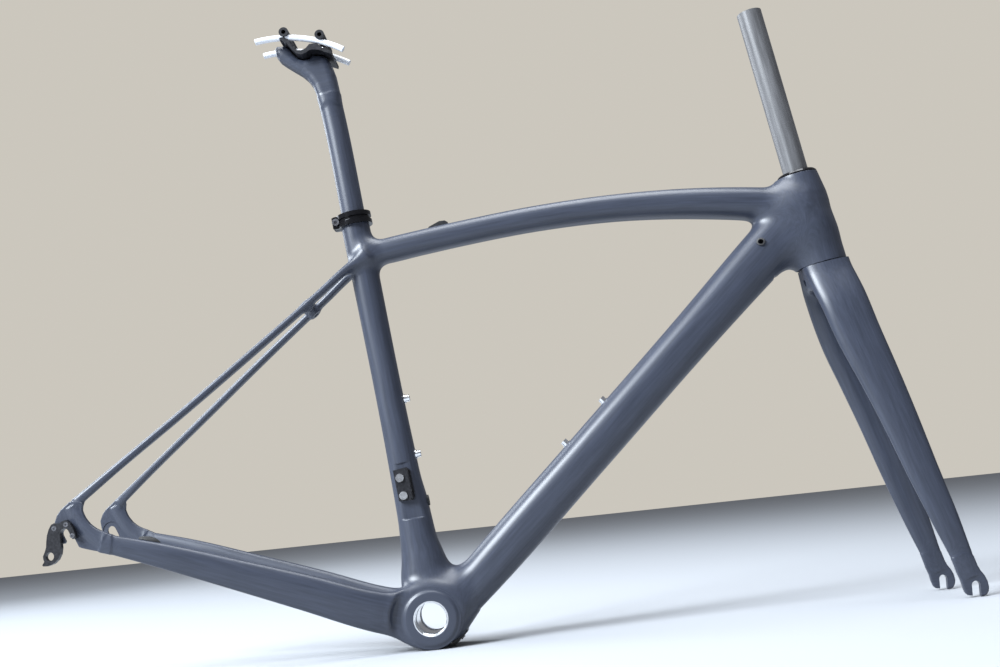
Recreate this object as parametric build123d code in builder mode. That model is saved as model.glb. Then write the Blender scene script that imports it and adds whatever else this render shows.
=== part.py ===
from build123d import *
from math import cos, radians, sin
import os

# Road frameset in millimetres. The origin is the bottom bracket centre, +X points to
# the fork, +Y to the left side and +Z up. The frameset stands nose-down on its bottom
# bracket shell and fork tips, as it rests on a floor without wheels.

# Layout of the whole frameset, as (x, z) in the middle plane
rear_axle = (-378.0, 132.0)
front_axle = (575.5, -21.0)
crown_top = (479.5, 344.0)
steering_angle = 82.0
seat_angle = 83.9
down_tube_angle = 42.5
rear_spacing = 130.0
front_spacing = 100.0

# Walls and small clearances
tube_wall = 1.4
stay_wall = 1.2
running_gap = 0.05
turning_gap = 0.3

# Bottom bracket
shell_width = 68.0
shell_radius = 33.4
boss_radius = 29.5
boss_step = 4.0
sleeve_radius = 19.0
sleeve_bore_radius = 16.95
sleeve_chamfer = 0.8

# Head tube and headset, heights measured up the steering axis from the crown
head_bottom = 0.8
head_top = 106.8
lower_bearing = (17.0, 23.5, 7.0)
upper_bearing = (15.1, 20.9, 7.0)
lower_bearing_base = 1.8
cover_height = 3.7
cover_radius = 22.8
steerer_radius = 14.3
steerer_seat_radius = 14.65
steerer_base_radius = 16.5
steerer_bore_radius = 11.8
steerer_top = 311.0
steerer_foot = -20.0

# Seatpost, clamp and seat tube, heights measured up the seat axis from the origin
seatpost_radius = 13.6
seatpost_foot = 334.0
seat_tube_top = 465.5
seat_tube_radius = 16.2
seat_flare_top = 150.85
sleeve_bottom = 230.0
clamp_bottom = 451.8
clamp_height = 14.4
clamp_radius = 20.2
clamp_bolt_offset = -20.6
clamp_head_radius = 4.2

# Wheel slots
rear_slot_width = 10.0
front_slot_width = 9.0

# Fasteners
bottle_spacing = 64.0
m5_radius = 2.5
m3_radius = 1.5


def axis_plane(point, angle):
    """Plane in the frame's middle: local Y runs up the inclined axis, local X forward."""
    lean = radians(angle)
    return Plane(origin=(point[0], 0, point[1]), x_dir=(sin(lean), 0, cos(lean)), z_dir=(0, -1, 0))


steering = axis_plane(crown_top, steering_angle)
seat = axis_plane((0.0, 0.0), seat_angle)
side = Plane(origin=(0, 0, 0), x_dir=(1, 0, 0), z_dir=(0, -1, 0))


def turned(plane, outline):
    """Solid of revolution about the plane's local Y, from (radius, height) points."""
    with BuildPart() as body:
        with BuildSketch(plane):
            with BuildLine():
                Polyline(*outline, close=True)
            make_face()
        revolve(axis=Axis(plane.origin, plane.y_dir))
    return body.part


def ring(plane, inner, outer, low, high):
    return turned(plane, [(inner, low), (outer, low), (outer, high), (inner, high)])


def bar(plane, radius, low, high):
    """Round bar along the plane's local Y."""
    return rod(plane.from_local_coords((0, low, 0)), plane.from_local_coords((0, high, 0)), radius)


def rod(start, end, radius):
    """Round bar between two points."""
    along = Vector(*end) - Vector(*start)
    with BuildPart() as body:
        with BuildSketch(Plane(origin=start, z_dir=along)):
            Circle(radius)
        extrude(amount=along.length)
    return body.part


def plate(outline, near, far, plane=side):
    """Flat plate from an outline in the plane, between two distances off the plane."""
    with BuildPart() as body:
        with BuildSketch(plane.offset(near)):
            with BuildLine():
                Polyline(*outline, close=True)
            make_face()
        extrude(amount=far - near)
    return body.part


def slot_cutter(centre, angle, width, reach, near, far):
    """Round-ended slot opening away from its centre, cut right through a plate."""
    toward = Vector(cos(radians(angle)), sin(radians(angle)))
    middle = Vector(centre[0], centre[1]) + toward * (reach / 2)
    with BuildPart() as body:
        with BuildSketch(side.offset(near)):
            with Locations((centre[0], centre[1])):
                Circle(width / 2)
            with Locations((middle.X, middle.Y)):
                Rectangle(reach, width, rotation=angle)
        extrude(amount=far - near)
    return body.part


def lofted(stations, shrink=0.0):
    """Solid through oval sections (x, y, z, width across, height) square to their path."""
    centres = [Vector(*station[:3]) for station in stations]
    last = len(centres) - 1
    across = Vector(0, 1, 0)
    with BuildPart() as body:
        for i, station in enumerate(stations):
            along = (centres[min(i + 1, last)] - centres[max(i - 1, 0)]).normalized()
            level = across - along * across.dot(along)
            with BuildSketch(Plane(origin=centres[i], x_dir=level, z_dir=along)):
                Ellipse(station[3] / 2 - shrink, station[4] / 2 - shrink)
        loft()
    return body.part


def tube(stations, wall, cutters=()):
    """Hollow tube through oval sections, trimmed where it meets its neighbours."""
    with BuildPart() as body:
        add(lofted(stations))
        add(lofted(stations, wall), mode=Mode.SUBTRACT)
        for cutter in cutters:
            add(cutter, mode=Mode.SUBTRACT)
    return body.part


def trimmed(solid, cutters):
    with BuildPart() as body:
        add(solid)
        for cutter in cutters:
            add(cutter, mode=Mode.SUBTRACT)
    return body.part


def joined(solids):
    with BuildPart() as body:
        for solid in solids:
            add(solid)
    return body.part


def mirrored(solid):
    """The same solid on the other side of the frame."""
    with BuildPart() as body:
        add(mirror(solid, about=Plane.XZ))
    return body.part


def save(solid, name):
    solid.label = name
    export_step(solid, f"parts/{name}.step")


# Outer shapes of the tubes: (x, y, z, width across, height)
seat_flare_stations = [
    (1.0, 0, 4, 56, 62),
    (-4.3, 0, 40, 54, 58),
    (-7.1, 0, 66, 46, 48),
    (-9.8, 0, 92, 40, 40.5),
    (-13.0, 0, 122, 36, 36.4),
    (-16.0, 0, 150, 33.0, 33.0),
]
down_tube_stations = [
    (15.0, 0, -0.7, 54, 50),
    (81.0, 0, 59.7, 52, 49.2),
    (190.0, 0, 159.5, 50.5, 50.2),
    (338.0, 0, 295.0, 52, 52),
    (400.0, 0, 351.5, 54, 56),
    (462.0, 0, 406.0, 52, 64),
]
top_tube_stations = [
    (-45.0, 0, 411.0, 28, 28),
    (-22.0, 0, 415.0, 30, 28.5),
    (72.0, 0, 427.0, 33, 28.4),
    (165.0, 0, 435.0, 35, 28.8),
    (258.0, 0, 436.7, 38, 30.6),
    (350.0, 0, 431.0, 42, 34.6),
    (415.0, 0, 422.5, 46, 38.0),
    (462.0, 0, 412.5, 48, 46.0),
]
chainstay_stations = [
    (-14.0, -26, 1.0, 18, 50),
    (-59.0, -34, 14.0, 19, 44),
    (-131.0, -42, 42.0, 17, 38.5),
    (-209.0, -52, 71.5, 15, 32),
    (-285.0, -62, 99.5, 12.5, 25.5),
    (-340.0, -67, 117.5, 9.5, 20.5),
]
seatstay_stations = [
    (-50.0, -15.5, 404.0, 13, 9.0),
    (-94.0, -19.6, 370.5, 13.5, 8.4),
    (-175.0, -29.5, 309.0, 13.5, 8.4),
    (-253.0, -43.0, 249.5, 12.5, 8.4),
    (-330.0, -58.5, 192.0, 10.5, 8.8),
    (-366.0, -66.5, 165.0, 9.0, 10.5),
]
blade_stations = [
    (487.0, -29.3, 304.0, 22.0, 52.5),
    (498.3, -36.5, 257.5, 19.5, 49.5),
    (510.9, -41.5, 213.6, 17.5, 44.8),
    (524.4, -45.5, 165.5, 15.5, 39.8),
    (541.4, -49.5, 100.3, 13.0, 34.0),
    (556.3, -52.0, 47.0, 10.8, 28.6),
    (567.5, -53.0, 6.0, 9.0, 22.5),
]
crown_sections = [(0.0, 53.0, 52.0), (-12.0, 58.0, 53.0), (-26.0, 70.0, 54.0), (-40.0, 80.0, 54.0)]
crown_bottom = -40.0
crown_shift = 2.0


def shell_outline(bore):
    half = shell_width / 2
    step = half - boss_step
    slope = step - (shell_radius - boss_radius)
    return [
        (bore, -half), (boss_radius, -half), (boss_radius, -step), (shell_radius, -slope),
        (shell_radius, slope), (boss_radius, step), (boss_radius, half), (bore, half),
    ]


across_frame = Plane(origin=(0, 0, 0), x_dir=(1, 0, 0), z_dir=(0, 0, 1))
shell_envelope = turned(across_frame, shell_outline(0.0))
head_outline = [
    (27.0, head_bottom), (27.1, 30.0), (26.9, 58.0), (26.2, 76.0), (24.6, 92.0), (23.3, head_top),
]
head_envelope = turned(steering, [(0, head_bottom), *head_outline, (0, head_top)])
seat_round = bar(seat, seat_tube_radius, seat_flare_top - 2.0, seat_tube_top)
seat_flare = lofted(seat_flare_stations)
seat_envelope = joined([seat_flare, seat_round])
down_envelope = lofted(down_tube_stations)
top_envelope = lofted(top_tube_stations)
chainstay_envelope = lofted(chainstay_stations)
seatstay_envelope = lofted(seatstay_stations)

# Holes that fittings need in the tubes
grommet_height = 126.0
grommet_radius = 4.2
port_centre = (408.3, 374.2)
port_radius = 4.6
port_bore_radius = 3.0
bottle_bores = {"seat": [], "down": []}


def bottle_points():
    """Centre of each bottle boss on its tube's surface, with the outward direction."""
    lean = radians(seat_angle)
    forward = Vector(sin(lean), 0, cos(lean))
    up = Vector(-cos(lean), 0, sin(lean))
    seat_middle = 211.2
    seat_face = 16.6
    slope = radians(down_tube_angle)
    along = Vector(cos(slope), 0, sin(slope))
    above = Vector(-sin(slope), 0, cos(slope))
    down_middle = 272.4
    down_face = 14.5
    half = bottle_spacing / 2
    seat_points = [(up * (seat_middle + s) + forward * seat_face, forward) for s in (half, -half)]
    down_points = [(along * (down_middle + s) + above * down_face, above) for s in (half, -half)]
    return {"seat": seat_points, "down": down_points}


rivnut_radius = 3.6
rivnut_flange_radius = 5.2
rivnut_flange = 0.8
rivnut_depth = 10.0
bottle_holes = {
    tube_name: [rod(point + out * 6, point - out * 8, rivnut_radius) for point, out in places]
    for tube_name, places in bottle_points().items()
}


def head_tube():
    lower_inner, lower_outer, lower_tall = lower_bearing
    upper_inner, upper_outer, upper_tall = upper_bearing
    lower_seat = lower_bearing_base + lower_tall
    upper_seat = head_top - 1.0 - upper_tall
    inner = [
        (upper_outer, head_top), (upper_outer, upper_seat), (19.0, upper_seat - 3), (19.0, 74.0),
        (21.0, 60.0), (21.0, lower_seat + 3), (lower_outer, lower_seat), (lower_outer, head_bottom),
    ]
    return turned(steering, head_outline + inner)


def bottom_bracket_shell():
    return turned(across_frame, shell_outline(sleeve_radius))


def bottom_bracket_sleeve():
    half = shell_width / 2
    chamfer_radius = sleeve_bore_radius + sleeve_chamfer
    outline = [
        (sleeve_bore_radius, -half + sleeve_chamfer), (chamfer_radius, -half),
        (sleeve_radius, -half), (sleeve_radius, half), (chamfer_radius, half),
        (sleeve_bore_radius, half - sleeve_chamfer),
    ]
    return turned(across_frame, outline)


def seat_tube():
    grommet_hole = rod(seat.from_local_coords((0, grommet_height, 0)),
                       seat.from_local_coords((30, grommet_height, 0)), grommet_radius)
    bore = bar(seat, seatpost_radius + running_gap, sleeve_bottom, seat_tube_top + 1)
    middle_hollow = bar(seat, seat_tube_radius - 2.0, seat_flare_top - 3.0, sleeve_bottom + 1)
    slit = plate([(-30, 440), (-5, 440), (-5, 480), (-30, 480)], -0.8, 0.8, seat)
    upper = trimmed(seat_round, [bore, middle_hollow, slit, *bottle_holes["seat"]])
    lower_cutters = [lofted(seat_flare_stations, 2.0), shell_envelope, down_envelope, grommet_hole]
    lower = trimmed(seat_flare, lower_cutters)
    return joined([upper, lower])


def down_tube():
    port_hole = rod((port_centre[0], -32, port_centre[1]), (port_centre[0], -16, port_centre[1]),
                    port_radius)
    cutters = [shell_envelope, head_envelope, port_hole, *bottle_holes["down"]]
    return tube(down_tube_stations, tube_wall, cutters)


def top_tube():
    return tube(top_tube_stations, tube_wall, [head_envelope, down_envelope, seat_envelope])


def chainstay_right():
    beside_shell = bar(across_frame, shell_radius, -60.0, -30.0)
    cutters = [shell_envelope, beside_shell, seat_envelope, down_envelope]
    return tube(chainstay_stations, stay_wall, cutters)


def seatstay_right():
    return tube(seatstay_stations, stay_wall, [seat_envelope, top_envelope])


# Rear dropouts, hanger and brake bridge
dropout_outline = [
    (-373.5, 168.0), (-382.5, 158.5), (-387.5, 152.0), (-391.0, 144.0), (-390.0, 136.0),
    (-387.5, 126.0), (-385.0, 120.5), (-381.0, 121.5), (-379.0, 126.0), (-375.0, 122.0),
    (-370.5, 118.0), (-362.0, 114.2), (-350.0, 110.4), (-334.0, 105.5), (-331.5, 124.8),
    (-346.5, 132.2), (-354.0, 138.5), (-359.0, 147.0), (-360.5, 154.0), (-358.5, 161.5),
]
dropout_inner = rear_spacing / 2
dropout_thickness = 4.2
slot_angle = -66.0
hanger_outline = [
    (-388.9, 143.7), (-391.7, 142.4), (-394.6, 137.8), (-396.8, 131.5), (-397.8, 125.0),
    (-398.3, 119.2), (-399.8, 114.8), (-402.1, 109.9), (-401.9, 106.6), (-401.0, 104.2),
    (-403.3, 100.9), (-402.6, 99.5), (-397.9, 99.1), (-391.2, 101.0), (-386.3, 105.0),
    (-383.3, 110.5), (-382.2, 116.9), (-382.6, 124.8), (-383.0, 132.0), (-378.0, 138.0),
    (-373.2, 131.8), (-373.4, 127.8), (-372.6, 123.8), (-365.8, 126.0), (-366.3, 129.6),
    (-368.6, 136.4), (-371.6, 141.9), (-375.4, 145.9), (-379.5, 145.0), (-383.0, 142.8),
]
hanger_thickness = 6.8
hanger_hole = (-394.8, 108.9)
hanger_hole_radius = 4.55
hanger_screws_at = [(-388.9, 138.2), (-376.0, 141.0), (-369.6, 128.6)]
hanger_screw_head = (2.6, 1.6)
bridge_middle = (-108.0, 357.5)
bridge_boss_radius = 8.0
bridge_boss_length = 20.0
brake_bolt_radius = 3.0
brake_nut_radius = 4.05
brake_nut_depth = 9.0
hanger_face = dropout_inner + dropout_thickness


def rear_slot(near, far):
    return slot_cutter(rear_axle, slot_angle, rear_slot_width, 30.0, near, far)


def dropout(screw_holes):
    cutters = [chainstay_envelope, seatstay_envelope,
               rear_slot(dropout_inner - 1, hanger_face + 1)]
    for x, z in screw_holes:
        cutters.append(rod((x, -hanger_face - 1, z), (x, -dropout_inner + 1, z), m3_radius))
    return trimmed(plate(dropout_outline, dropout_inner, hanger_face), cutters)


def derailleur_hanger():
    outer = hanger_face + hanger_thickness
    head_radius, head_depth = hanger_screw_head
    x, z = hanger_hole
    cutters = [
        rod((x, -outer - 1, z), (x, -hanger_face + 1, z), hanger_hole_radius),
        rear_slot(hanger_face - 1, outer + 1),
    ]
    for x, z in hanger_screws_at:
        cutters.append(rod((x, -outer - 1, z), (x, -hanger_face + 1, z), m3_radius))
        cutters.append(rod((x, -outer - 1, z), (x, -outer + head_depth, z), head_radius))
    return trimmed(plate(hanger_outline, hanger_face, outer), cutters)


def hanger_screws():
    outer = hanger_face + hanger_thickness
    head_radius, head_depth = hanger_screw_head
    screws = []
    for x, z in hanger_screws_at:
        shank = rod((x, -outer + 1, z), (x, -dropout_inner - 0.4, z), m3_radius)
        head = rod((x, -outer, z), (x, -outer + head_depth, z), head_radius)
        socket = rod((x, -outer - 1, z), (x, -outer + head_depth * 0.8, z), 1.1)
        screws.append(trimmed(joined([shank, head]), [socket]))
    return joined(screws)


def wheel_tangent():
    """Direction of the rear brake bolt: square to the line from the rear axle."""
    reach = Vector(bridge_middle[0] - rear_axle[0], 0, bridge_middle[1] - rear_axle[1])
    reach = reach.normalized()
    return Vector(-reach.Z, 0, reach.X)


def brake_bridge():
    tangent = wheel_tangent()
    middle = Vector(bridge_middle[0], 0, bridge_middle[1])
    half = bridge_boss_length / 2
    ends = [(bridge_middle[0] + dx, y, bridge_middle[1] + dz, 11.5, tall)
            for dx, y, dz, tall in ((-1.0, -19.5, 0.6, 13.0), (0.0, -8.0, 0.0, 13.5),
                                    (0.0, 8.0, 0.0, 13.5), (-1.0, 19.5, 0.6, 13.0))]
    with BuildPart() as arms:
        for x, y, z, wide, tall in ends:
            with BuildSketch(Plane(origin=(x, y, z), x_dir=tangent, z_dir=(0, 1, 0))):
                Ellipse(tall / 2, wide / 2)
        loft()
    boss = rod(middle - tangent * half, middle + tangent * half, bridge_boss_radius)
    bolt_hole = rod(middle - tangent * (half + 1), middle + tangent * (half + 1), brake_bolt_radius)
    nut_hole = rod(middle - tangent * (half + 1), middle - tangent * (half - brake_nut_depth),
                   brake_nut_radius)
    cutters = [bolt_hole, nut_hole, seatstay_envelope, mirrored(seatstay_envelope)]
    return trimmed(joined([arms.part, boss]), cutters)


# Front derailleur mount, cable fittings and bottle bosses
mount_plate = [(-10.5, 131.0), (5.5, 129.0), (8.0, 133.0), (8.0, 162.0), (5.0, 166.0), (-10.5, 165.5)]
mount_face = 14.0
mount_outer = 20.0
mount_tab = [(3.0, 131.0), (6.4, 131.0), (6.4, 164.0), (3.0, 164.0)]
mount_tab_outer = 36.0
mount_slot_length = 18.0
mount_slot_radius = 2.6
rivet_centres = [(-4.7, 156.0), (-4.4, 136.0)]
rivet_head_radius = 4.6
rivet_head_height = 1.8
rivet_radius = 2.1
mount_axis_height = 147.5
grommet_flange_radius = 6.0
grommet_lip = 2.6


def seat_side(x, height, out):
    """Point beside the seat tube on the drive side, from seat axis coordinates."""
    return seat.from_local_coords((x, height, out))


def front_derailleur_mount():
    plate_part = plate(mount_plate, mount_face, mount_outer, seat)
    tab = plate(mount_tab, mount_outer - 1, mount_tab_outer, seat)
    reach = (mount_outer + mount_tab_outer) / 2 + 2
    half = mount_slot_length / 2 - mount_slot_radius
    cutters = [seat_flare, seat_round]
    for step in (-half, half):
        cutters.append(rod(seat_side(0, mount_axis_height + step, reach),
                           seat_side(10, mount_axis_height + step, reach), mount_slot_radius))
    slot = plate([(2.0, mount_axis_height - half), (8.0, mount_axis_height - half),
                  (8.0, mount_axis_height + half), (2.0, mount_axis_height + half)],
                 reach - mount_slot_radius, reach + mount_slot_radius, seat)
    cutters.append(slot)
    for x, height in rivet_centres:
        cutters.append(rod(seat_side(x, height, 10), seat_side(x, height, 30), rivet_radius))
    return trimmed(joined([plate_part, tab]), cutters)


def mount_rivets():
    rivets = []
    for x, height in rivet_centres:
        shank = rod(seat_side(x, height, mount_face + 3.4), seat_side(x, height, mount_outer + 0.5),
                    rivet_radius)
        head = rod(seat_side(x, height, mount_outer),
                   seat_side(x, height, mount_outer + rivet_head_height), rivet_head_radius)
        rivets.append(trimmed(joined([shank, head]), [seat_flare, seat_round]))
    return joined(rivets)


def seat_tube_cable_grommet():
    face = 18.0
    flange = rod(seat_side(face - 3, grommet_height, 0), seat_side(face + grommet_lip, grommet_height, 0),
                 grommet_flange_radius)
    flange = trimmed(flange, [seat_flare])
    neck = rod(seat_side(face - 5, grommet_height, 0), seat_side(face + 0.5, grommet_height, 0),
               grommet_radius)
    hole = rod(seat_side(face - 6, grommet_height, 0), seat_side(face + 4, grommet_height, 0), 1.6)
    return trimmed(joined([neck, flange]), [hole])


def bottle_rivnuts():
    nuts = []
    for tube_name, places in bottle_points().items():
        envelope = seat_round if tube_name == "seat" else down_envelope
        for point, out in places:
            flange = trimmed(rod(point - out * 2, point + out * 0.6, rivnut_flange_radius), [envelope])
            body = rod(point - out * 8, point - out * 0.5, rivnut_radius)
            hole = rod(point - out * 9, point + out * 4, m5_radius)
            nuts.append(trimmed(joined([body, flange]), [hole]))
    return joined(nuts)


bolt_head_radius = 3.9
bolt_head_height = 4.6
bolt_socket_radius = 2.0
bolt_socket_depth = 2.6


def bottle_bolts():
    bolts = []
    for places in bottle_points().values():
        for point, out in places:
            base = point + out * 0.6
            shank = rod(point - out * 7, base + out * 0.5, m5_radius)
            head = rod(base, base + out * bolt_head_height, bolt_head_radius)
            top = base + out * bolt_head_height
            socket = rod(top - out * bolt_socket_depth, top + out, bolt_socket_radius)
            bolts.append(trimmed(joined([shank, head]), [socket]))
    return joined(bolts)


def down_tube_cable_port():
    """Grommet that lines the cable hole on the drive side of the down tube."""
    x, z = port_centre
    sleeve = rod((x, -32, z), (x, -18, z), port_radius)
    bore = rod((x, -33, z), (x, -17, z), port_bore_radius)
    outer_skin = lofted([(x0, y, z0, wide + 1.6, tall + 1.6) for x0, y, z0, wide, tall in
                         down_tube_stations])
    with BuildPart() as body:
        add(sleeve)
        add(outer_skin, mode=Mode.INTERSECT)
        add(bore, mode=Mode.SUBTRACT)
    return body.part


cable_stop_at = (48.0, 438.5)
cable_stop_length = 23.0
cable_stop_width = 8.0
cable_stop_height = 5.2
cable_bore = 2.1


def top_tube_cable_stop():
    """Low guide on top of the top tube where the rear brake cable leaves it."""
    x, z = cable_stop_at
    half = cable_stop_length / 2
    lean = 6.0
    place = axis_plane((x, z), 90.0 - lean)
    outline = [(-half, -3), (half, -3), (half, 2.0), (half - 3, cable_stop_height - 0.6),
               (2, cable_stop_height), (-half, 1.0)]
    block = plate(outline, -cable_stop_width / 2, cable_stop_width / 2, place)
    cable = rod(place.from_local_coords((-1, 2.4, 0)), place.from_local_coords((half + 2, 2.4, 0)),
                cable_bore)
    return trimmed(block, [top_envelope, cable])


plug_start = (-303.0, 118.5)
plug_end = (-281.0, 110.5)


def chainstay_cable_plug():
    """Rubber plug over the cable exit on top of the right chainstay."""
    y = -60.5
    centre = [(plug_start[0] + (plug_end[0] - plug_start[0]) * t, y + 2 * t,
               plug_start[1] + (plug_end[1] - plug_start[1]) * t, wide, tall)
              for t, wide, tall in ((0.0, 3.0, 3.0), (0.3, 7.0, 8.0), (0.75, 7.0, 8.6), (1.0, 3.0, 3.0))]
    return trimmed(lofted(centre), [chainstay_envelope])


def bottom_cable_guide():
    """Plastic guide screwed under the junction of down tube and bottom bracket."""
    place = axis_plane((0, 0), 90 - down_tube_angle)
    outline = [(-6, -39.0), (14, -39.0), (16, -37.0), (16, -32.0), (-6, -32.0)]
    block = plate(outline, -11.0, 11.0, place)
    cutters = [down_envelope, shell_envelope]
    for y in (-6.0, 6.0):
        cutters.append(rod(place.from_local_coords((-8, -39.2, y)),
                           place.from_local_coords((18, -39.2, y)), 1.3))
    cutters.append(rod(place.from_local_coords((5, -41, 0)), place.from_local_coords((5, -30, 0)),
                       m3_radius))
    return trimmed(block, cutters)


def cable_guide_screw():
    place = axis_plane((0, 0), 90 - down_tube_angle)
    head = rod(place.from_local_coords((5, -40.4, 0)), place.from_local_coords((5, -39.0, 0)), 2.8)
    shank = rod(place.from_local_coords((5, -39.2, 0)), place.from_local_coords((5, -36.0, 0)),
                m3_radius)
    return trimmed(joined([head, shank]), [down_envelope, shell_envelope])


# Headset and fork
def headset_lower_bearing():
    inner, outer, tall = lower_bearing
    return ring(steering, inner, outer, lower_bearing_base, lower_bearing_base + tall)


def headset_upper_bearing():
    inner, outer, tall = upper_bearing
    return ring(steering, inner, outer, head_top - 1.0 - tall, head_top - 1.0)


def crown_race():
    collar = lower_bearing[0] - running_gap
    outline = [(steerer_base_radius, 0.0), (20.5, 0.0), (20.5, 1.2), (collar, 1.5), (collar, 6.5),
               (steerer_base_radius, 6.5)]
    return turned(steering, outline)


def compression_ring():
    collar = upper_bearing[0] - running_gap
    return ring(steering, steerer_seat_radius, collar, head_top - 6.0, head_top + turning_gap)


def headset_cover():
    low = head_top + turning_gap
    high = low + cover_height
    bore = steerer_seat_radius
    outline = [(bore, low), (cover_radius, low), (cover_radius, low + 1.4),
               (cover_radius - 1.6, high - 0.4), (cover_radius - 2.4, high), (bore, high)]
    return turned(steering, outline)


def steerer_tube():
    """Tapered tube whose bare, sanded upper end is a little slimmer, for the stem."""
    bare_from = head_top + turning_gap + cover_height
    outline = [
        (steerer_bore_radius, steerer_foot), (steerer_base_radius, steerer_foot),
        (steerer_base_radius, 9.0), (steerer_seat_radius, 46.0), (steerer_seat_radius, bare_from),
        (steerer_radius, bare_from), (steerer_radius, steerer_top),
        (steerer_bore_radius, steerer_top),
    ]
    return trimmed(turned(steering, outline), [crown_bolt(brake_bolt_radius, -40, 40)])


arch_radius = 19.0
arch_height = -46.0
front_bolt_height = -15.0


def crown_bolt(radius, near, far):
    """Round hole along the forward direction through the crown."""
    return rod(steering.from_local_coords((near, front_bolt_height, 0)),
               steering.from_local_coords((far, front_bolt_height, 0)), radius)


def fork_crown():
    with BuildPart() as body:
        for height, wide, deep in crown_sections:
            shift = -crown_shift * height / -crown_bottom
            with BuildSketch(Plane(origin=steering.from_local_coords((shift, height, 0)),
                                   x_dir=(0, 1, 0), z_dir=steering.y_dir)):
                Ellipse(wide / 2, deep / 2)
        loft()
        add(rod(steering.from_local_coords((-40, arch_height, 0)),
                steering.from_local_coords((40, arch_height, 0)), arch_radius), mode=Mode.SUBTRACT)
        add(bar(steering, steerer_base_radius, steerer_foot, 1.0), mode=Mode.SUBTRACT)
        add(crown_bolt(brake_bolt_radius, -40, 40), mode=Mode.SUBTRACT)
        add(crown_bolt(brake_nut_radius, -40, -14), mode=Mode.SUBTRACT)
    return body.part


def fork_blade():
    return tube(blade_stations, tube_wall, [crown_envelope])


tip_outline = [
    (556.0, 8.0), (558.5, -7.0), (561.0, -14.5), (562.2, -22.5), (563.8, -28.5), (566.5, -31.3),
    (569.5, -31.6), (573.5, -32.8), (577.5, -33.3), (581.3, -33.3), (585.6, -32.2),
    (588.0, -28.5), (589.2, -24.0), (588.5, -17.5), (586.0, -11.5), (583.0, -7.0),
    (580.0, -1.0), (577.5, 8.0), (566.0, 12.0),
]
tip_inner = front_spacing / 2
tip_thickness = 6.5


def fork_tip():
    tip = plate(tip_outline, tip_inner, tip_inner + tip_thickness)
    slot = slot_cutter(front_axle, -94.0, front_slot_width, 20.0, tip_inner - 1,
                       tip_inner + tip_thickness + 1)
    return trimmed(tip, [slot, lofted(blade_stations)])


# Seat clamp
def seat_clamp_ring():
    top = clamp_bottom + clamp_height
    middle = clamp_bottom + clamp_height / 2
    ring_outline = [
        (seat_tube_radius, clamp_bottom), (clamp_radius, clamp_bottom),
        (clamp_radius, middle - 2.0), (clamp_radius - 1.4, middle - 1.2),
        (clamp_radius - 1.4, middle + 1.2), (clamp_radius, middle + 2.0), (clamp_radius, top),
        (seat_tube_radius, top),
    ]
    ears = plate([(-25.0, clamp_bottom + 1), (-25.0, top - 1), (-22.5, top), (-15.0, top),
                  (-15.0, clamp_bottom), (-22.5, clamp_bottom)], -7.5, 7.5, seat)
    slit = plate([(-30, clamp_bottom - 1), (-10, clamp_bottom - 1), (-10, top + 1), (-30, top + 1)],
                 -1.0, 1.0, seat)
    bolt_hole = rod(seat_side(clamp_bolt_offset, middle, -10), seat_side(clamp_bolt_offset, middle, 10),
                    m5_radius)
    bore = bar(seat, seat_tube_radius, clamp_bottom - 1, top + 1)
    head_seat = rod(seat_side(clamp_bolt_offset, middle, 7.5), seat_side(clamp_bolt_offset, middle, 12),
                    clamp_head_radius + running_gap)
    return trimmed(joined([turned(seat, ring_outline), ears]), [slit, bolt_hole, bore, head_seat])


def seat_clamp_bolt():
    middle = clamp_bottom + clamp_height / 2
    shank = rod(seat_side(clamp_bolt_offset, middle, -7.5), seat_side(clamp_bolt_offset, middle, 8),
                m5_radius)
    head = rod(seat_side(clamp_bolt_offset, middle, 7.5), seat_side(clamp_bolt_offset, middle, 11.5),
               clamp_head_radius)
    socket = rod(seat_side(clamp_bolt_offset, middle, 9), seat_side(clamp_bolt_offset, middle, 12), 2.0)
    return trimmed(joined([shank, head]), [socket])


# Seatpost and saddle clamp, outlines as (forward, up) in seat axis coordinates
post_straight_top = 596.0
head_outline_side = [
    (13.6, 590.0), (13.8, 612.0), (12.6, 636.0), (10.0, 650.0), (7.5, 657.5), (1.9, 661.2),
    (-5.0, 663.6), (-9.5, 663.8), (-14.0, 661.6), (-20.0, 660.6), (-25.5, 663.4), (-30.0, 670.0),
    (-34.0, 678.0), (-38.6, 682.6), (-49.5, 684.5), (-52.0, 681.5), (-52.2, 673.5), (-49.0, 666.5),
    (-44.0, 660.8), (-35.0, 652.2), (-27.0, 644.6), (-20.5, 636.0), (-16.0, 626.0), (-13.8, 612.0),
    (-13.6, 590.0),
]
head_half_width = 14.5
cradle_outline = [
    (-41.5, 683.4), (-38.6, 682.7), (-33.9, 678.1), (-29.9, 670.1), (-25.4, 663.5), (-20.0, 660.7),
    (-14.0, 661.7), (-9.5, 663.9), (-5.0, 663.7), (1.9, 661.3), (7.6, 657.6), (14.5, 653.6),
    (15.5, 657.0), (6.0, 663.0), (0.0, 670.5), (-8.5, 671.0), (-13.5, 667.0), (-20.0, 665.2),
    (-25.0, 667.6), (-28.5, 674.0), (-31.5, 681.5), (-35.5, 686.0), (-41.5, 686.6),
]
cradle_half_width = 25.5
rail_offset = 22.0
rail_radius = 3.5
rail_arc = [(-70.5, 688.5), (-24.0, 683.5), (29.0, 657.0)]
rear_barrel = (-35.0, 691.6)
front_barrel = (5.6, 679.2)
barrel_radius = 5.6
barrel_half_width = 27.5
barrel_bore_radius = 2.6
clamp_bolt_radius = 2.5


def seat_point(place, out=0.0):
    return seat.from_local_coords((place[0], place[1], out))


rail_tilt = -0.36


def clamp_bolt_foot(barrel, depth):
    """Point below a barrel, straight down through the cradle."""
    return (barrel[0] + rail_tilt * depth * 0.45, barrel[1] - depth)


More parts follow.
